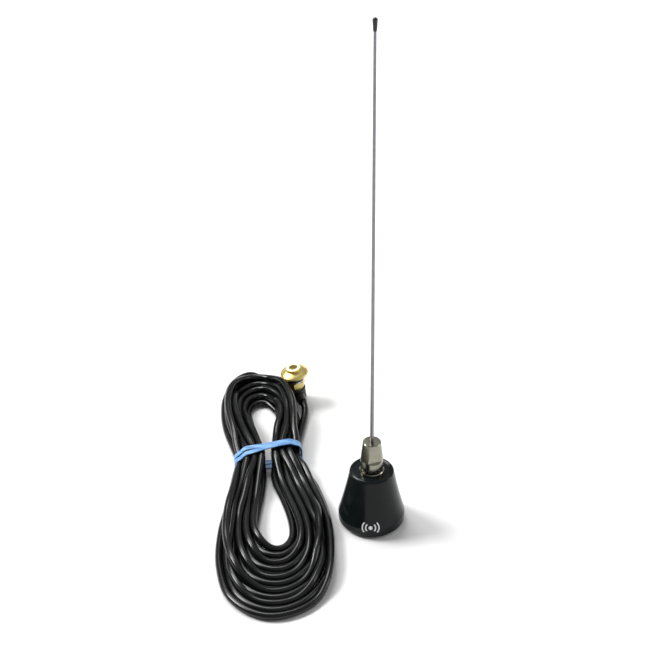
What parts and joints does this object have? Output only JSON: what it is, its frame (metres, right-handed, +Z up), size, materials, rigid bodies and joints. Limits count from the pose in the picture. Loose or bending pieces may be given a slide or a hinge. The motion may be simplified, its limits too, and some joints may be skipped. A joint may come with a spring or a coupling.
{
  "type": "omnidirectional antenna",
  "caption": "Mobile whip antenna on a coil base, with a screw-on brass roof mount and its coaxial cable tied in a hank.",
  "frame": {"origin": "centre of the base's seat plane, where the base rests on a panel or a table", "axes": "+Z up the whip; -Y faces the viewer of the front; the cable hank lies on the -X side"},
  "size_m": [0.1306, 0.2657, 0.372],
  "materials": {
    "whip_steel": "drawn stainless, satin",
    "cap_black": "soft vinyl, satin",
    "nickel": "bright nickel plate over turned brass",
    "dark_steel": "black oxide",
    "housing_black": "glossy moulded ABS",
    "brass": "turned brass, lightly polished",
    "tinned": "bright tin plate",
    "insulator_white": "turned PTFE, satin",
    "copper": "bare copper",
    "plate_grey": "glass-filled nylon, matt",
    "zinc_steel": "zinc plate",
    "rubber_black": "moulded rubber, satin",
    "cable_black": "extruded PVC, glossy",
    "band_blue": "translucent blue rubber",
    "dielectric_white": "polyethylene, waxy"
  },
  "bodies": {
    "root": {"base_housing": "housing_black", "top_stud": "brass", "top_stud_nut": "brass", "top_solder_tag": "tinned", "coil_former": "insulator_white", "coil_winding": "copper", "base_plate": "plate_grey", "base_screws": "zinc_steel", "base_stud": "brass", "base_stud_nut": "brass", "base_solder_tag": "tinned", "base_gasket": "rubber_black", "mount_head": "brass", "mount_insulator": "insulator_white", "mount_socket": "brass", "mount_seal_ring": "rubber_black", "crimp_sleeve": "brass", "strain_boot": "rubber_black", "cable_lead": "cable_black", "cable_hank": "cable_black", "rubber_band": "band_blue", "cable_end_braid": "tinned", "cable_end_dielectric": "dielectric_white", "cable_end_conductor": "copper"},
    "washer": {"ferrule_washer": "nickel"},
    "ferrule": {"ferrule_body": "nickel"},
    "whip": {"whip_rod": "whip_steel", "whip_tip_cap": "cap_black"},
    "screw_upper": {"set_screw_upper": "dark_steel"},
    "screw_lower": {"set_screw_lower": "dark_steel"},
    "lock_washer": {"mount_lock_washer": "zinc_steel"},
    "clamp_nut": {"mount_clamp_nut": "brass"}
  },
  "joints": [
    {"name": "ferrule_lift", "type": "slide", "parent": "root", "child": "washer", "axis": [0, 0, 1], "range_m": [0, 0.0045]},
    {"name": "ferrule_turn", "type": "hinge", "parent": "washer", "child": "ferrule", "pos_m": [0, 0, 0.0435], "axis": [0, 0, 1], "range_deg": [0, 1440]},
    {"name": "whip_slide", "type": "slide", "parent": "ferrule", "child": "whip", "axis": [0, 0, 1], "range_m": [0, 0.006]},
    {"name": "set_screw_upper_out", "type": "slide", "parent": "ferrule", "child": "screw_upper", "axis": [-0.309, 0.9511, 0], "range_m": [0, 0.002]},
    {"name": "set_screw_lower_out", "type": "slide", "parent": "ferrule", "child": "screw_lower", "axis": [-0.309, 0.9511, 0], "range_m": [0, 0.002]},
    {"name": "clamp_nut_drop", "type": "slide", "parent": "root", "child": "lock_washer", "axis": [0.1392, 0, -0.9903], "range_m": [0, 0.0021]},
    {"name": "clamp_nut_turn", "type": "hinge", "parent": "lock_washer", "child": "clamp_nut", "pos_m": [-0.05192, 0.1377, 0.01467], "axis": [0.1392, 0, -0.9903], "range_deg": [0, 720]}
  ],
  "couplings": [
    {"joint": "ferrule_lift", "follows": "ferrule_turn", "m_per_rad": 0.00016844},
    {"joint": "clamp_nut_drop", "follows": "clamp_nut_turn", "m_per_rad": 0.00015915}
  ]
}
